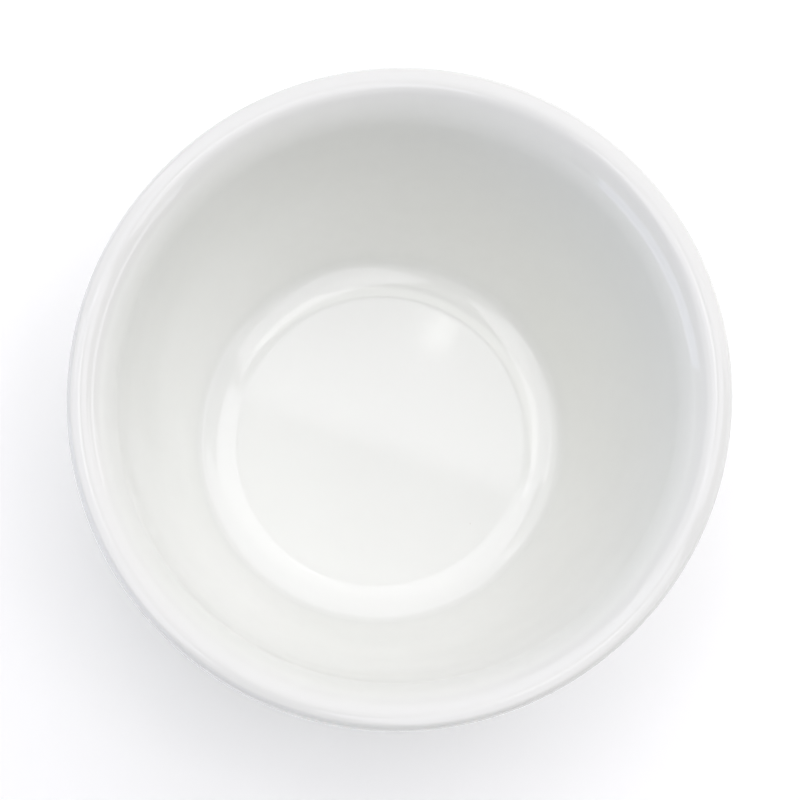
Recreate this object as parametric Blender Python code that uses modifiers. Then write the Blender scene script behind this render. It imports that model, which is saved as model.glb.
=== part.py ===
"""Evaporating dish of glazed porcelain: flat floor, steep wall, flared lip, no pouring spout.

It has the two solids that the real dish has. porcelain_body is the fired clay, which stands on a
bare foot ring. glaze_coat is the skin of glass fused over it, from the middle of the floor, over
the lip and down the outside to a line just above the foot's standing face.

The origin is the centre of the foot's standing face, with +Z up through the bowl.
"""

import math
from collections import namedtuple

import bpy

# Driving dimensions of the finished dish, in metres.
RIM_RADIUS = 0.0450
HEIGHT = 0.0380
WALL = 0.0030
FLOOR_HEIGHT = 0.0055
FLOOR_RADIUS = 0.0202
FOOT_RADIUS = 0.0235

# The glaze, and the hairline that keeps the two meshes apart.
GLAZE = 0.00035
HAIRLINE = 0.00005
SKIN = GLAZE + HAIRLINE
GLAZE_LINE = 0.0011

# The floor rises along a wide fillet to a tight corner. The wall slopes least where it leaves the
# corner and bends steadily steeper as it rises.
FILLET_RADIUS = 0.0135
FILLET_END_SLOPE = math.radians(20)
CORNER_RADIUS = 0.0024
LEAST_SLOPE = math.radians(56)

# The wall flares out to the lip's highest circle, the crest. The top falls a little from there to the
# edge, a short upright face. Under it a hollow curve leads back to the outer side of the wall.
FLARE_RADIUS = 0.0085
FLARE_END_SLOPE = math.radians(35)
CREST_RADIUS = 0.0432
CREST_ROUNDING = 0.0032
EDGE_ROUNDING = 0.0009
EDGE_DROP = 0.00015
EDGE_FACE = 0.0008
UNDERLIP_RADIUS = 0.0035
UNDERLIP_DEPTH = 0.0068

# The foot ring, and the recess inside it.
FOOT_FILLET_RADIUS = 0.0010
FOOT_WIDTH = 0.0027
FOOT_EDGE_RADIUS = 0.0005
RECESS_HEIGHT = 0.0018
RECESS_FILLET_RADIUS = 0.0008

# Discs that touch are set this far apart, so that a line can be drawn between them.
CLEAR = 0.000002

TURN_STEPS = 48
CHORD_ERROR = 0.00005
MERGE = 0.00001

# An outline is a band pulled round a chain of discs, and turns left or right round each one.
# A disc of radius 0 is a plain point.
LEFT, RIGHT = 1, -1
Disc = namedtuple("Disc", "r z radius turn")


def point(r, z):
    return Disc(r, z, 0.0, LEFT)


def leg(long_side, short_side):
    """The other short side of a right triangle."""
    return math.sqrt(long_side**2 - short_side**2)


def heading_between(a, b):
    """Direction of the straight stretch from disc a to disc b."""
    across, up = b.r - a.r, b.z - a.z
    lean = (b.turn * b.radius - a.turn * a.radius) / math.hypot(across, up)
    return math.atan2(up, across) - math.asin(lean)


def arc_step(radius):
    """Angle whose chord on an arc of this radius strays from it by CHORD_ERROR."""
    return 2 * math.acos(1 - CHORD_ERROR / radius)


def band(discs):
    """Points (r, z, heading) of the band, with the solid on the right of the way it runs."""
    headings = [heading_between(a, b) for a, b in zip(discs, discs[1:])]
    ends = zip([headings[0], *headings], [*headings, headings[-1]])
    outline = []
    for disc, (arriving, leaving) in zip(discs, ends):
        swing = (leaving - arriving) * disc.turn % math.tau * disc.turn
        steps = math.ceil(abs(swing) / arc_step(disc.radius)) if disc.radius else 0
        out = disc.turn * disc.radius
        for step in range(steps + 1):
            heading = arriving + swing * step / max(steps, 1)
            outline.append((disc.r + out * math.sin(heading), disc.z - out * math.cos(heading), heading))
    return outline


def grown(outline, distance):
    """The outline moved away from the solid by distance. Points on the axis stay on it."""
    return [
        (max(0.0, r - distance * math.sin(heading)), z + distance * math.cos(heading), heading)
        for r, z, heading in outline
    ]


def nested(disc, slope, radius):
    """A smaller or larger disc that touches this one inside, where the band has this slope."""
    inset = disc.radius - radius + math.copysign(CLEAR, disc.radius - radius)
    out = disc.turn * inset
    return Disc(disc.r + out * math.sin(slope), disc.z - out * math.cos(slope), radius, disc.turn)


def wall_disc(corner, flare):
    """The large disc that the wall bends round, which touches the corner's disc and the flare's."""
    out_r, out_z = math.sin(LEAST_SLOPE), -math.cos(LEAST_SLOPE)
    reach = corner.radius - CLEAR
    across = corner.r + reach * out_r - flare.r
    up = corner.z + reach * out_z - flare.z
    far = flare.radius + CLEAR
    radius = (across**2 + up**2 - far**2) / (2 * (far + across * out_r + up * out_z))
    back = radius - reach
    return Disc(corner.r - back * out_r, corner.z - back * out_z, radius, LEFT)


def glazed_outline():
    """The finished surface from the middle of the floor, over the lip, to the glaze line."""
    fillet = Disc(FLOOR_RADIUS, FLOOR_HEIGHT + FILLET_RADIUS, FILLET_RADIUS, LEFT)
    corner = nested(fillet, FILLET_END_SLOPE, CORNER_RADIUS)
    crest = Disc(CREST_RADIUS, HEIGHT - CREST_ROUNDING, CREST_ROUNDING, RIGHT)
    flare = nested(crest, FLARE_END_SLOPE, FLARE_RADIUS)
    inner_wall = wall_disc(corner, flare)
    edge_r = RIM_RADIUS - EDGE_ROUNDING
    edge_z = HEIGHT - EDGE_DROP - EDGE_ROUNDING

    outer_wall = inner_wall._replace(radius=inner_wall.radius + WALL, turn=RIGHT)
    underlip_z = HEIGHT - UNDERLIP_DEPTH
    underlip_gap = outer_wall.radius + UNDERLIP_RADIUS + CLEAR
    underlip_r = outer_wall.r + leg(underlip_gap, underlip_z - outer_wall.z)
    heel = corner._replace(radius=corner.radius + WALL, turn=RIGHT)
    foot_r = FOOT_RADIUS + FOOT_FILLET_RADIUS
    foot_z = heel.z - leg(heel.radius + FOOT_FILLET_RADIUS + CLEAR, foot_r - heel.r)
    return band(
        [
            point(0.0, FLOOR_HEIGHT),
            fillet,
            corner,
            inner_wall,
            flare,
            crest,
            Disc(edge_r, edge_z, EDGE_ROUNDING, RIGHT),
            Disc(edge_r, edge_z - EDGE_FACE, EDGE_ROUNDING, RIGHT),
            Disc(underlip_r, underlip_z, UNDERLIP_RADIUS, LEFT),
            outer_wall,
            heel,
            Disc(foot_r, foot_z, FOOT_FILLET_RADIUS, LEFT),
            point(FOOT_RADIUS, GLAZE_LINE),
        ]
    )


def bare_outline():
    """The clay's surface from the glaze line, round the foot and across the underside."""
    outer = FOOT_RADIUS - SKIN
    inner = outer - FOOT_WIDTH
    recess_r = inner - RECESS_FILLET_RADIUS
    recess_z = RECESS_HEIGHT - RECESS_FILLET_RADIUS
    return band(
        [
            point(outer, GLAZE_LINE),
            Disc(outer - FOOT_EDGE_RADIUS, FOOT_EDGE_RADIUS, FOOT_EDGE_RADIUS, RIGHT),
            Disc(inner + FOOT_EDGE_RADIUS, FOOT_EDGE_RADIUS, FOOT_EDGE_RADIUS, RIGHT),
            Disc(recess_r, recess_z, RECESS_FILLET_RADIUS, LEFT),
            point(0.0, RECESS_HEIGHT),
        ]
    )


def material(name, colour, roughness):
    made = bpy.data.materials.new(name)
    made.use_nodes = True
    shader = made.node_tree.nodes["Principled BSDF"]
    shader.inputs["Base Color"].default_value = (*colour, 1.0)
    shader.inputs["Roughness"].default_value = roughness
    shader.inputs["Metallic"].default_value = 0.0
    return made


def turned(name, profile, finish, collection):
    """A named solid made by turning a profile, which starts and ends on the axis, about Z."""
    mesh = bpy.data.meshes.new(name)
    points = [(r, 0.0, z) for r, z, _ in profile]
    mesh.from_pydata(points, [(i, i + 1) for i in range(len(points) - 1)], [])
    mesh.materials.append(finish)
    solid = bpy.data.objects.new(name, mesh)
    collection.objects.link(solid)
    screw = solid.modifiers.new("turn", "SCREW")
    screw.axis = "Z"
    screw.steps = TURN_STEPS
    screw.render_steps = TURN_STEPS
    screw.use_merge_vertices = True
    screw.merge_threshold = MERGE
    screw.use_smooth_shade = True
    return solid


def main():
    for old in list(bpy.data.objects):
        bpy.data.objects.remove(old)
    dish = bpy.data.collections.new("evaporating_dish")
    bpy.context.scene.collection.children.link(dish)

    finished = glazed_outline()
    under_clay = grown(finished, -SKIN)
    under_glaze = grown(finished, -GLAZE)

    clay = material("biscuit", (0.80, 0.79, 0.76), 0.62)
    glass = material("glaze", (0.87, 0.88, 0.86), 0.08)
    turned("porcelain_body", under_clay + bare_outline()[1:], clay, dish)
    turned("glaze_coat", finished + under_glaze[::-1], glass, dish)


main()
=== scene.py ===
"""Looks of the glazed porcelain evaporating dish: finer turned meshes, glaze, bare clay, light.

The two CAD solids are replaced by two meshes of the same size: the same outline, turned with more
points, with the slight unevenness that throwing, drying and firing leave.
"""

import math
from collections import namedtuple

import bpy
from mathutils import Matrix, Vector, noise


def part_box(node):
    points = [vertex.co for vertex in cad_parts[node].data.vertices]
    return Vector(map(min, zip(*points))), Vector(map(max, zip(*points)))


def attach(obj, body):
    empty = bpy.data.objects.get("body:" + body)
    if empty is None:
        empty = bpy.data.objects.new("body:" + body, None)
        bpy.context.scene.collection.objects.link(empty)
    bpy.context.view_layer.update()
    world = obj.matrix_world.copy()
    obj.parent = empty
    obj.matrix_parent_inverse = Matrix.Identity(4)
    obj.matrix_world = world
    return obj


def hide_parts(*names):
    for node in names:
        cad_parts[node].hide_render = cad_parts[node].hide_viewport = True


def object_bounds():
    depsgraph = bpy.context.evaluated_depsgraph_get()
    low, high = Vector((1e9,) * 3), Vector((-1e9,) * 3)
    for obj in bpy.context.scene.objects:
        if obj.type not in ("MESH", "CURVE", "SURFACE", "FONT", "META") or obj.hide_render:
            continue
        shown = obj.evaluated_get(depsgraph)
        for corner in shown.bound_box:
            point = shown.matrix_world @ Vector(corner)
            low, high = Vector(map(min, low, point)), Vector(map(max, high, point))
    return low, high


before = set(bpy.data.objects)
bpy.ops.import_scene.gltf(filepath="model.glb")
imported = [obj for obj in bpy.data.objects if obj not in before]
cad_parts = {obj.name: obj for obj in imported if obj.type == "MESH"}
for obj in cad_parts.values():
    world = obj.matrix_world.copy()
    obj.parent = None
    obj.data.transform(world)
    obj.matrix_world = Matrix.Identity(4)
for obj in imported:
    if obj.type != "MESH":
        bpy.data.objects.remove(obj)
cad_low, cad_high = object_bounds()

# ---------------------------------------------------------------------------------------------
# The outline, as the CAD has it, in metres
# ---------------------------------------------------------------------------------------------

RIM_RADIUS = cad_high.x
HEIGHT = cad_high.z
WALL = 0.0030
FLOOR_HEIGHT = 0.0055
FLOOR_RADIUS = 0.0202
FOOT_RADIUS = 0.0235
GLAZE = 0.00035
SKIN = 0.00040
GLAZE_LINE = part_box("glaze_coat")[0].z

FILLET_RADIUS = 0.0135
FILLET_END_SLOPE = math.radians(20)
CORNER_RADIUS = 0.0024
LEAST_SLOPE = math.radians(56)
FLARE_RADIUS = 0.0085
FLARE_END_SLOPE = math.radians(35)
CREST_RADIUS = 0.0432
CREST_ROUNDING = 0.0032
EDGE_ROUNDING = 0.0009
EDGE_DROP = 0.00015
EDGE_FACE = 0.0008
UNDERLIP_RADIUS = 0.0035
UNDERLIP_DEPTH = 0.0068
FOOT_FILLET_RADIUS = 0.0010
FOOT_WIDTH = 0.0027
FOOT_EDGE_RADIUS = 0.0005
RECESS_HEIGHT = 0.0018
RECESS_FILLET_RADIUS = 0.0008
GLAZE_BEAD = 0.00019
CLEAR = 0.000002

TURN_STEPS = 216
CHORD_ERROR = 0.0000015
LONGEST_STEP = 0.0010

LEFT, RIGHT = 1, -1
Disc = namedtuple("Disc", "r z radius turn")


def point(r, z):
    return Disc(r, z, 0.0, LEFT)


def leg(long_side, short_side):
    """The other short side of a right triangle."""
    return math.sqrt(long_side**2 - short_side**2)


def heading_between(a, b):
    """Direction of the straight stretch from disc a to disc b."""
    across, up = b.r - a.r, b.z - a.z
    lean = (b.turn * b.radius - a.turn * a.radius) / math.hypot(across, up)
    return math.atan2(up, across) - math.asin(lean)


def arc_step(radius):
    """Angle whose chord on an arc of this radius strays from it by CHORD_ERROR."""
    return 2 * math.acos(1 - CHORD_ERROR / radius)


def band(discs):
    """Points (r, z, heading) of a band pulled round the discs, with the solid on its right."""
    headings = [heading_between(a, b) for a, b in zip(discs, discs[1:])]
    ends = zip([headings[0], *headings], [*headings, headings[-1]])
    outline = []
    for disc, (arriving, leaving) in zip(discs, ends):
        swing = (leaving - arriving) * disc.turn % math.tau * disc.turn
        steps = math.ceil(abs(swing) / arc_step(disc.radius)) if disc.radius else 0
        out = disc.turn * disc.radius
        for step in range(steps + 1):
            heading = arriving + swing * step / max(steps, 1)
            r = disc.r + out * math.sin(heading)
            z = disc.z - out * math.cos(heading)
            outline.append((r, z, heading))
    return outline


def refined(outline):
    """The outline with points added, so that no step is longer than LONGEST_STEP."""
    fine = [outline[0]]
    for (r0, z0, h0), (r1, z1, h1) in zip(outline, outline[1:]):
        pieces = math.ceil(math.hypot(r1 - r0, z1 - z0) / LONGEST_STEP)
        bend = (h1 - h0 + math.pi) % math.tau - math.pi
        for i in range(1, pieces + 1):
            t = i / pieces
            fine.append((r0 + (r1 - r0) * t, z0 + (z1 - z0) * t, h0 + bend * t))
    return fine


def grown(outline, distance):
    """The outline moved away from the solid by distance. Points on the axis stay on it."""
    return [
        (max(0.0, r - distance * math.sin(heading)), z + distance * math.cos(heading), heading)
        for r, z, heading in outline
    ]


def nested(disc, slope, radius):
    """A smaller or larger disc that touches this one inside, where the band has this slope."""
    inset = disc.radius - radius + math.copysign(CLEAR, disc.radius - radius)
    out = disc.turn * inset
    return Disc(disc.r + out * math.sin(slope), disc.z - out * math.cos(slope), radius, disc.turn)


def wall_disc(corner, flare):
    """The large disc that the wall bends round, which touches the corner's disc and the flare's."""
    out_r, out_z = math.sin(LEAST_SLOPE), -math.cos(LEAST_SLOPE)
    reach = corner.radius - CLEAR
    across = corner.r + reach * out_r - flare.r
    up = corner.z + reach * out_z - flare.z
    far = flare.radius + CLEAR
    radius = (across**2 + up**2 - far**2) / (2 * (far + across * out_r + up * out_z))
    back = radius - reach
    return Disc(corner.r - back * out_r, corner.z - back * out_z, radius, LEFT)


def glazed_outline(*end):
    """The finished surface from the middle of the floor, over the lip, to the discs of its end."""
    fillet = Disc(FLOOR_RADIUS, FLOOR_HEIGHT + FILLET_RADIUS, FILLET_RADIUS, LEFT)
    corner = nested(fillet, FILLET_END_SLOPE, CORNER_RADIUS)
    crest = Disc(CREST_RADIUS, HEIGHT - CREST_ROUNDING, CREST_ROUNDING, RIGHT)
    flare = nested(crest, FLARE_END_SLOPE, FLARE_RADIUS)
    inner_wall = wall_disc(corner, flare)
    edge_r = RIM_RADIUS - EDGE_ROUNDING
    edge_z = HEIGHT - EDGE_DROP - EDGE_ROUNDING

    outer_wall = inner_wall._replace(radius=inner_wall.radius + WALL, turn=RIGHT)
    underlip_z = HEIGHT - UNDERLIP_DEPTH
    underlip_gap = outer_wall.radius + UNDERLIP_RADIUS + CLEAR
    underlip_r = outer_wall.r + leg(underlip_gap, underlip_z - outer_wall.z)
    heel = corner._replace(radius=corner.radius + WALL, turn=RIGHT)
    foot_r = FOOT_RADIUS + FOOT_FILLET_RADIUS
    foot_z = heel.z - leg(heel.radius + FOOT_FILLET_RADIUS + CLEAR, foot_r - heel.r)
    return band(
        [
            point(0.0, FLOOR_HEIGHT),
            fillet,
            corner,
            inner_wall,
            flare,
            crest,
            Disc(edge_r, edge_z, EDGE_ROUNDING, RIGHT),
            Disc(edge_r, edge_z - EDGE_FACE, EDGE_ROUNDING, RIGHT),
            Disc(underlip_r, underlip_z, UNDERLIP_RADIUS, LEFT),
            outer_wall,
            heel,
            Disc(foot_r, foot_z, FOOT_FILLET_RADIUS, LEFT),
            *end,
        ]
    )


def bare_outline():
    """The clay's surface from under the glaze's edge, round the foot and across the underside."""
    outer = FOOT_RADIUS - SKIN
    inner = outer - FOOT_WIDTH
    recess_r = inner - RECESS_FILLET_RADIUS
    recess_z = RECESS_HEIGHT - RECESS_FILLET_RADIUS
    return band(
        [
            point(outer, GLAZE_LINE + SKIN),
            Disc(outer - FOOT_EDGE_RADIUS, FOOT_EDGE_RADIUS, FOOT_EDGE_RADIUS, RIGHT),
            Disc(inner + FOOT_EDGE_RADIUS, FOOT_EDGE_RADIUS, FOOT_EDGE_RADIUS, RIGHT),
            Disc(recess_r, recess_z, RECESS_FILLET_RADIUS, LEFT),
            point(0.0, RECESS_HEIGHT),
        ]
    )


# ---------------------------------------------------------------------------------------------
# Unevenness: what throwing, drying and firing leave, as a distance along the surface's normal
# ---------------------------------------------------------------------------------------------

RING_PITCH = 0.0085
RING_DEPTH = 0.000012
RING_WANDER, WANDER_SIZE = 0.35, 0.022
SLOW_RING_SHARE, SLOW_RING_LAG = 0.6, 0.2
PATCH_SIZE, PATCH_SHIFT = 0.017, Vector((3, 0, 0))
WALL_STEEPNESS = (0.75, 0.92)
RING_FADE = (HEIGHT - 0.011, HEIGHT - 0.006)
DIMPLE_SIZE = 0.016
DIMPLE_DEPTH = 0.000010
FLATNESS = (0.9, 1.0)
FLOOR_DIMPLE_SHARE = 0.4
GLAZE_LINE_WANDER = 0.00018
GLAZE_LINE_REACH = 0.0020
GLAZE_LINE_LOBES = 2.5
WARP = 0.016
WARP_DIRECTION = math.radians(-122)


def smooth_step(value, start, end):
    t = min(max((value - start) / (end - start), 0.0), 1.0)
    return t * t * (3 - 2 * t)


def throwing_rings(place, angle, heading):
    """Shallow spiral grooves on the wall, inside and out, which fade on the floor and the lip."""
    steep = smooth_step(abs(math.sin(heading)), *WALL_STEEPNESS)
    below_lip = 1 - smooth_step(place.z, *RING_FADE)
    wander = RING_WANDER * noise.noise(place / WANDER_SIZE)
    turns = place.z / RING_PITCH + angle / math.tau + wander
    slow = math.sin(math.tau * (turns / 2 + SLOW_RING_LAG))
    wave = math.sin(math.tau * turns) + SLOW_RING_SHARE * slow
    patch = 1 + noise.noise(place / PATCH_SIZE + PATCH_SHIFT) / 2
    return RING_DEPTH * steep * below_lip * wave * patch


def dimples(place, heading):
    """Long soft waves in the glaze, weaker on the flat floor."""
    flat = smooth_step(abs(math.cos(heading)), *FLATNESS)
    share = 1 - (1 - FLOOR_DIMPLE_SHARE) * flat
    return DIMPLE_DEPTH * share * noise.noise(place / DIMPLE_SIZE)


def outward(angle, heading):
    """The surface's normal where the outline runs in this direction."""
    out = -math.sin(heading)
    return Vector((out * math.cos(angle), out * math.sin(angle), math.cos(heading)))


def glaze_shift(place, angle, heading):
    """How far a point of the glaze lies from the true turned shape."""
    waves = throwing_rings(place, angle, heading) + dimples(place, heading)
    near_line = 1 - smooth_step(place.z, GLAZE_LINE, GLAZE_LINE + GLAZE_LINE_REACH)
    around = Vector((math.cos(angle), math.sin(angle), 0.0)) * GLAZE_LINE_LOBES
    dip = GLAZE_LINE_WANDER * near_line * noise.noise(around)
    return outward(angle, heading) * waves + Vector((0, 0, dip))


def no_shift(place, angle, heading):
    return Vector((0, 0, 0))


def settled(place):
    """The slight oval that drying and firing leave, widest along WARP_DIRECTION."""
    along = Vector((math.cos(WARP_DIRECTION), math.sin(WARP_DIRECTION), 0.0))
    across = Vector((-along.y, along.x, 0.0))
    a, b = place.dot(along), place.dot(across)
    return along * a * (1 + WARP) + across * b * (1 - WARP) + Vector((0, 0, place.z))


def turned_faces(rings, sides):
    """Faces from point 0, on the axis, through rings of points with this many sides."""
    faces = []
    for i in range(sides):
        j = (i + 1) % sides
        faces.append((0, 1 + i, 1 + j))
        for ring in range(rings - 1):
            near, far = 1 + ring * sides, 1 + (ring + 1) * sides
            faces.append((near + i, far + i, far + j, near + j))
    return faces


def new_piece(name, places, faces):
    mesh = bpy.data.meshes.new(name)
    mesh.from_pydata(places, [], faces)
    mesh.shade_smooth()
    mesh.update()
    piece = bpy.data.objects.new(name, mesh)
    bpy.context.scene.collection.objects.link(piece)
    return piece


def turned(name, outline, shift):
    """A closed mesh made by turning an outline, which starts and ends on the axis, about Z."""
    spin = [math.tau * i / TURN_STEPS for i in range(TURN_STEPS)]
    places = [settled(Vector((0, 0, outline[0][1])))]
    for r, z, heading in outline[1:-1]:
        for angle in spin:
            place = Vector((r * math.cos(angle), r * math.sin(angle), z))
            places.append(settled(place + shift(place, angle, heading)))
    places.append(settled(Vector((0, 0, outline[-1][1]))))

    rings = len(outline) - 2
    last, tip = 1 + (rings - 1) * TURN_STEPS, len(places) - 1
    faces = turned_faces(rings, TURN_STEPS)
    faces += [(last + i, tip, last + (i + 1) % TURN_STEPS) for i in range(TURN_STEPS)]
    return new_piece(name, places, faces)


def make_glaze():
    bead = Disc(FOOT_RADIUS - GLAZE_BEAD, GLAZE_LINE + GLAZE_BEAD, GLAZE_BEAD, RIGHT)
    outside = refined(glazed_outline(bead, point(FOOT_RADIUS - SKIN, GLAZE_LINE)))
    inside = grown(glazed_outline(point(FOOT_RADIUS, GLAZE_LINE + SKIN)), -GLAZE)
    return turned("glazed_surface", outside + inside[::-1], glaze_shift)


def make_clay():
    glazed = glazed_outline(point(FOOT_RADIUS, GLAZE_LINE + SKIN))
    return turned("bare_clay", grown(glazed, -SKIN) + bare_outline()[1:], no_shift)


# ---------------------------------------------------------------------------------------------
# Materials
# ---------------------------------------------------------------------------------------------

# A scale is in cells or waves per metre and a share is of 1. A height or depth is in metres, but
# PIT_DEPTH is in heights of the orange peel. A span, edge, band or pick is a pair of values between
# which a mask goes from none to full.
NOISE_SPAN = (0.3, 0.7)
CLOUD_WHITES = (0.855, 0.867, 0.828), (0.875, 0.883, 0.850)
CLOUD_SCALE = 34.0
MOTTLE_WHITE, MOTTLE_SCALE, MOTTLE_SHARE = (0.839, 0.845, 0.814), 420.0, 0.22
MOTTLE_SPAN = (0.35, 0.65)
POOLED_WHITE, POOL_DEPTH, POOL_SHARE = (0.836, 0.848, 0.818), 0.0035, 0.7
# Painted shade: the crest is painted a little darker, in place of the shading that falls on the
# lip.
PAINTED_CREST_SHADE, PAINTED_CREST_SHADE_SHARE = (0.820, 0.825, 0.802), 0.7
PAINTED_CREST_SHADE_BAND = (HEIGHT - 0.0016, HEIGHT - 0.0004)
SPECK_TAN, SPECK_SCALE, SPECK_SHARE = (0.46, 0.40, 0.31), 150.0, 0.35
SPECK_EDGE, SPECK_PICK = (0.022, 0.008), (0.86, 0.88)
GLOSS_ROUGHNESS, DULL_ROUGHNESS = 0.045, 0.03
DULL_SCALE, DULL_HEIGHT, DULL_SPAN = 160.0, 0.006, (0.45, 0.75)
GLAZE_IOR = 1.5
PEEL_SCALE, PEEL_DEPTH = 650.0, 0.0000012
PIT_SCALE, PIT_DEPTH = 210.0, 6.0
PIT_EDGE, PIT_PICK = (0.035, 0.012), (0.90, 0.92)

CLAY_TONES = (0.74, 0.725, 0.69), (0.80, 0.79, 0.76)
TONE_SCALE = 60.0
GRAIN_GREY, GRAIN_SCALE, GRAIN_SHARE = (0.62, 0.60, 0.56), 2600.0, 0.35
GRAIN_SPAN, GRAIN_STRENGTH, GRAIN_DEPTH = (0.52, 0.72), 0.6, 0.00003
RUBBED_GREY, RUBBED_SCALE, RUBBED_BAND = (0.52, 0.515, 0.50), 240.0, (0.00035, 0.00005)
RUBBED_SPAN, RUBBED_SHARES = (0.38, 0.6), (0.25, 0.8)
CLAY_ROUGHNESS, RUBBED_ROUGHNESS = 0.68, 0.42


def node(tree, kind, inputs, **settings):
    """A shader node, with each input either set to a value or linked to an output."""
    made = tree.nodes.new(kind)
    for key, value in settings.items():
        setattr(made, key, value)
    for key, value in inputs.items():
        if isinstance(value, bpy.types.NodeSocket):
            tree.links.new(value, made.inputs[key])
        else:
            made.inputs[key].default_value = value
    return made


def noise_value(tree, place, scale, detail=2.0):
    """Smooth noise about 0.5, with finer waves added in this many octaves."""
    inputs = {"Vector": place, "Scale": scale, "Detail": detail, "Roughness": 0.5}
    return node(tree, "ShaderNodeTexNoise", inputs).outputs["Fac"]


def ranged(tree, value, start, end, low=0.0, high=1.0):
    """The value, with start to end mapped smoothly to low to high."""
    inputs = {"Value": value, "From Min": start, "From Max": end, "To Min": low, "To Max": high}
    made = node(tree, "ShaderNodeMapRange", inputs, interpolation_type="SMOOTHSTEP")
    return made.outputs["Result"]


def maths(tree, operation, a, b):
    return node(tree, "ShaderNodeMath", {0: a, 1: b}, operation=operation).outputs[0]


def mixed(tree, factor, a, b):
    made = node(tree, "ShaderNodeMix", {}, data_type="RGBA")
    for key, value in (("Factor", factor), ("A", a), ("B", b)):
        socket = next(s for s in made.inputs if s.name == key and s.enabled)
        if isinstance(value, bpy.types.NodeSocket):
            tree.links.new(value, socket)
        else:
            socket.default_value = value if key == "Factor" else (*value, 1.0)
    return next(s for s in made.outputs if s.enabled)


def new_material(name):
    made = bpy.data.materials.new(name)
    made.use_nodes = True
    tree = made.node_tree
    shader = tree.nodes["Principled BSDF"]
    place = node(tree, "ShaderNodeTexCoord", {}).outputs["Object"]
    return made, tree, shader, place


def height_above_foot(tree, place):
    return node(tree, "ShaderNodeSeparateXYZ", {"Vector": place}).outputs["Z"]


def spots(tree, place, scale, edge, channel, pick, share=1.0):
    """Small round spots in some of the cells that fill space: share in a spot, 0 outside it."""
    cells = node(tree, "ShaderNodeTexVoronoi", {"Vector": place, "Scale": scale})
    parts = node(tree, "ShaderNodeSeparateColor", {"Color": cells.outputs["Color"]})
    round_spot = ranged(tree, cells.outputs["Distance"], *edge, 0.0, share)
    picked = ranged(tree, parts.outputs[channel], *pick)
    return maths(tree, "MULTIPLY", round_spot, picked)


def glaze_material():
    made, tree, shader, place = new_material("porcelain_glaze")
    height = height_above_foot(tree, place)

    # Long clouds in the body's white, seen through the glass.
    clouds = ranged(tree, noise_value(tree, place, CLOUD_SCALE), *NOISE_SPAN)
    colour = mixed(tree, clouds, *CLOUD_WHITES)
    mottle = noise_value(tree, place, MOTTLE_SCALE, detail=3.0)
    mottle = ranged(tree, mottle, *MOTTLE_SPAN, 0.0, MOTTLE_SHARE)
    colour = mixed(tree, mottle, colour, MOTTLE_WHITE)
    # Glass pooled on the floor is a little darker.
    pooled = ranged(tree, height, FLOOR_HEIGHT + POOL_DEPTH, FLOOR_HEIGHT, 0.0, POOL_SHARE)
    colour = mixed(tree, pooled, colour, POOLED_WHITE)
    # Painted shade: the crest is painted a little darker, in place of the shading that falls on the
    # lip.
    painted_crest_shade = ranged(tree, height, *PAINTED_CREST_SHADE_BAND, 0.0, PAINTED_CREST_SHADE_SHARE)
    colour = mixed(tree, painted_crest_shade, colour, PAINTED_CREST_SHADE)
    # A few pale tan specks of iron in the clay.
    speck = spots(tree, place, SPECK_SCALE, SPECK_EDGE, "Red", SPECK_PICK, SPECK_SHARE)
    colour = mixed(tree, speck, colour, SPECK_TAN)
    tree.links.new(colour, shader.inputs["Base Color"])

    # Glass that stirring and cleaning have dulled a little on the floor.
    swirl = noise_value(tree, place, DULL_SCALE, detail=4.0)
    used = ranged(tree, height, FLOOR_HEIGHT + DULL_HEIGHT, FLOOR_HEIGHT)
    dull = maths(tree, "MULTIPLY", used, ranged(tree, swirl, *DULL_SPAN, 0.0, DULL_ROUGHNESS))
    tree.links.new(maths(tree, "ADD", dull, GLOSS_ROUGHNESS), shader.inputs["Roughness"])
    shader.inputs["IOR"].default_value = GLAZE_IOR

    # Orange peel, and rare pinholes where gas escaped from the clay.
    peel = noise_value(tree, place, PEEL_SCALE, detail=1.0)
    pit = spots(tree, place, PIT_SCALE, PIT_EDGE, "Green", PIT_PICK)
    rise = maths(tree, "SUBTRACT", peel, maths(tree, "MULTIPLY", pit, PIT_DEPTH))
    bump = node(tree, "ShaderNodeBump", {"Height": rise, "Strength": 1.0, "Distance": PEEL_DEPTH})
    tree.links.new(bump.outputs["Normal"], shader.inputs["Normal"])
    return made


def clay_material():
    made, tree, shader, place = new_material("bare_biscuit")
    height = height_above_foot(tree, place)
    tone = noise_value(tree, place, TONE_SCALE, detail=3.0)
    colour = mixed(tree, ranged(tree, tone, *NOISE_SPAN), *CLAY_TONES)
    grain = noise_value(tree, place, GRAIN_SCALE)
    colour = mixed(tree, ranged(tree, grain, *GRAIN_SPAN, 0.0, GRAIN_SHARE), colour, GRAIN_GREY)
    # The standing face is rubbed grey and smoother by bench tops.
    wear = noise_value(tree, place, RUBBED_SCALE, detail=4.0)
    wear = ranged(tree, wear, *RUBBED_SPAN, *RUBBED_SHARES)
    rubbed = maths(tree, "MULTIPLY", ranged(tree, height, *RUBBED_BAND), wear)
    colour = mixed(tree, rubbed, colour, RUBBED_GREY)
    tree.links.new(colour, shader.inputs["Base Color"])
    roughness = ranged(tree, rubbed, 0.0, 1.0, CLAY_ROUGHNESS, RUBBED_ROUGHNESS)
    tree.links.new(roughness, shader.inputs["Roughness"])
    grainy = {"Height": grain, "Strength": GRAIN_STRENGTH, "Distance": GRAIN_DEPTH}
    bump = node(tree, "ShaderNodeBump", grainy)
    tree.links.new(bump.outputs["Normal"], shader.inputs["Normal"])
    return made


# ---------------------------------------------------------------------------------------------
# Floor, camera and light
# ---------------------------------------------------------------------------------------------

VIEW_DISTANCE = 0.600
VIEW_TILT = math.radians(13.3)
VIEW_SIDE = math.radians(-114.3)
VIEW_WIDTH = 0.10706
VIEW_AIM = Vector((-0.00017, -0.00061, HEIGHT - 0.002))
SENSOR = 36.0
CLIP_START, CLIP_END = 0.01, 20.0

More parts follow.
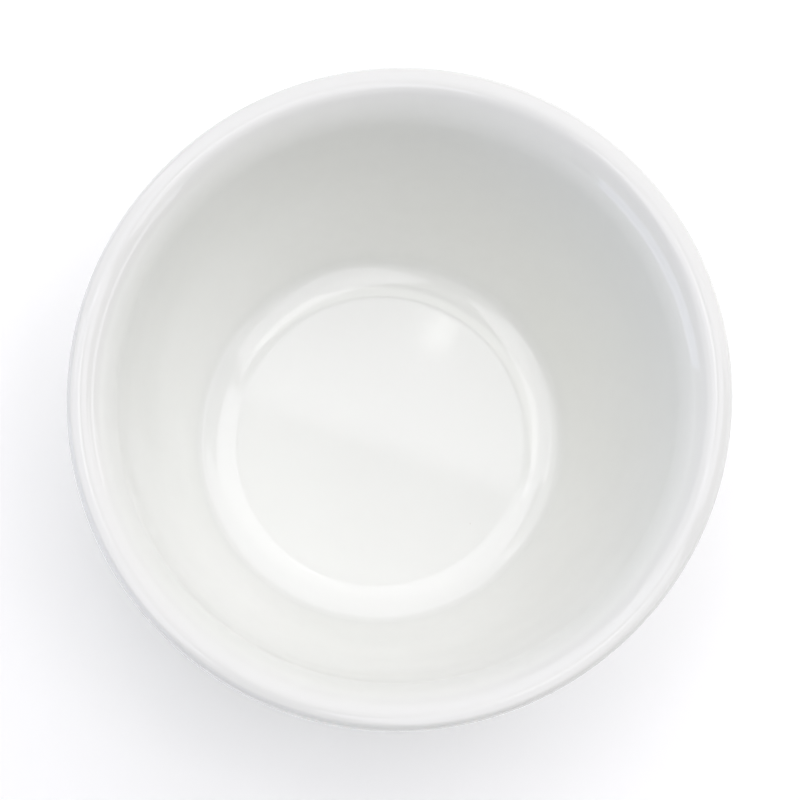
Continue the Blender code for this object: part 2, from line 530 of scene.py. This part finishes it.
WHITE = (1.0, 1.0, 1.0, 1.0)
ROOM_LIGHT = 0.11
STUDIO_GREY, STUDIO_ROUGHNESS = (0.88, 0.88, 0.88, 1.0), 0.9
# The floor glows faintly under the dish and more where it rises, between these distances from it.
TABLE_GLOW, WALL_GLOW = 0.19, 0.50
GLOW_RISE = (0.8, 2.4)
SWEEP_RADIUS, SWEEP_BEND = 3.0, 0.4
SWEEP_SIDES, SWEEP_STEPS, FLAT_STEPS = 96, 12, 4
PANEL_DISTANCE = 1.5
COOL, PLAIN, BLUE = (0.94, 0.92, 0.98), (1.0, 1.0, 0.97), (0.69, 0.74, 1.0)
# Name, azimuth and elevation in degrees, width and height in metres, strength, colour.
PANELS = (
    ("back_panel", 60, 24, 2.6, 0.60, 0.80, PLAIN),
    ("key_panel", 72, 50, 2.0, 0.72, 1.45, COOL),
    ("upper_panel", 72, 70.3, 1.2, 0.37, 2.08, COOL),
    ("far_top_panel", 66, 84.3, 0.8, 0.24, 1.55, PLAIN),
    ("zenith_panel", 246, 89.9, 0.9, 0.66, 0.42, PLAIN),
    ("near_top_panel", 246, 74, 0.9, 0.60, 0.50, PLAIN),
    ("left_panel", 152, 48, 1.2, 0.70, 1.02, PLAIN),
    ("right_panel", 315, 48, 1.2, 0.70, 0.70, PLAIN),
    ("top_left_panel", 170, 72, 0.8, 0.60, 2.02, COOL),
    ("top_right_panel", 325, 72, 0.8, 0.60, 2.10, COOL),
    ("low_left_panel", 198, 12, 1.4, 0.50, 1.85, BLUE),
    ("low_right_panel", 0, 30, 1.4, 0.36, 2.00, COOL),
    ("small_lamp", 65.2, 74.8, 0.012, 0.024, 3.60, PLAIN),
)


def toward(azimuth, elevation):
    level = math.cos(elevation)
    return Vector((level * math.cos(azimuth), level * math.sin(azimuth), math.sin(elevation)))


def facing(location, target, up_hint):
    """World matrix of a camera or light at location that looks at target."""
    back = (location - target).normalized()
    right = up_hint.cross(back).normalized()
    up = back.cross(right)
    turn = Matrix((right, up, back)).transposed().to_4x4()
    return Matrix.Translation(location) @ turn


def make_camera():
    lens = bpy.data.cameras.new("camera")
    lens.sensor_width = SENSOR
    lens.lens = SENSOR * VIEW_DISTANCE / VIEW_WIDTH
    lens.clip_start, lens.clip_end = CLIP_START, CLIP_END
    camera = bpy.data.objects.new("camera", lens)
    bpy.context.scene.collection.objects.link(camera)
    location = VIEW_AIM + VIEW_DISTANCE * toward(VIEW_SIDE, math.pi / 2 - VIEW_TILT)
    camera.matrix_world = facing(location, VIEW_AIM, Vector((0, 1, 0)))
    bpy.context.scene.camera = camera


def make_floor():
    """A round white floor that curves up into a low wall, with no edge between them."""
    flat = SWEEP_RADIUS - SWEEP_BEND
    bend = [math.pi / 2 * i / SWEEP_STEPS for i in range(SWEEP_STEPS + 1)]
    outline = [(flat * i / FLAT_STEPS, 0.0) for i in range(1, FLAT_STEPS)]
    outline += [(flat + SWEEP_BEND * math.sin(t), SWEEP_BEND * (1 - math.cos(t))) for t in bend]
    spin = [math.tau * i / SWEEP_SIDES for i in range(SWEEP_SIDES)]
    places = [(0.0, 0.0, 0.0)]
    places += [(r * math.cos(t), r * math.sin(t), z) for r, z in outline for t in spin]
    floor = new_piece("studio_floor", places, turned_faces(len(outline), SWEEP_SIDES))
    made, tree, shader, place = new_material("studio_white")
    shader.inputs["Base Color"].default_value = STUDIO_GREY
    shader.inputs["Roughness"].default_value = STUDIO_ROUGHNESS
    shader.inputs["Emission Color"].default_value = WHITE
    away = node(tree, "ShaderNodeVectorMath", {0: place}, operation="LENGTH").outputs["Value"]
    glow = ranged(tree, away, *GLOW_RISE, TABLE_GLOW, WALL_GLOW)
    tree.links.new(glow, shader.inputs["Emission Strength"])
    floor.data.materials.append(made)


def softbox(name, azimuth, elevation, width, height, strength, colour):
    """A white panel that faces the dish, seen from it in this direction, as bright as strength."""
    light = bpy.data.lights.new(name, "AREA")
    light.shape = "RECTANGLE"
    light.size, light.size_y = width, height
    light.energy = strength * math.pi * width * height
    light.color = colour
    lamp = bpy.data.objects.new(name, light)
    lamp.visible_camera = False
    bpy.context.scene.collection.objects.link(lamp)
    target = Vector((0, 0, HEIGHT / 2))
    location = target + PANEL_DISTANCE * toward(math.radians(azimuth), math.radians(elevation))
    lamp.matrix_world = facing(location, target, Vector((0, 0, 1)))


def make_light():
    world = bpy.data.worlds.new("studio")
    bpy.context.scene.world = world
    world.use_nodes = True
    background = world.node_tree.nodes["Background"]
    background.inputs["Color"].default_value = WHITE
    background.inputs["Strength"].default_value = ROOM_LIGHT
    for panel in PANELS:
        softbox(*panel)
    bpy.context.scene.view_settings.view_transform = "Standard"


def dress(piece, material, cad_node):
    piece.data.materials.append(material)
    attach(piece, "root")
    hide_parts(cad_node)


dress(make_glaze(), glaze_material(), "glaze_coat")
dress(make_clay(), clay_material(), "porcelain_body")
make_floor()
make_camera()
make_light()
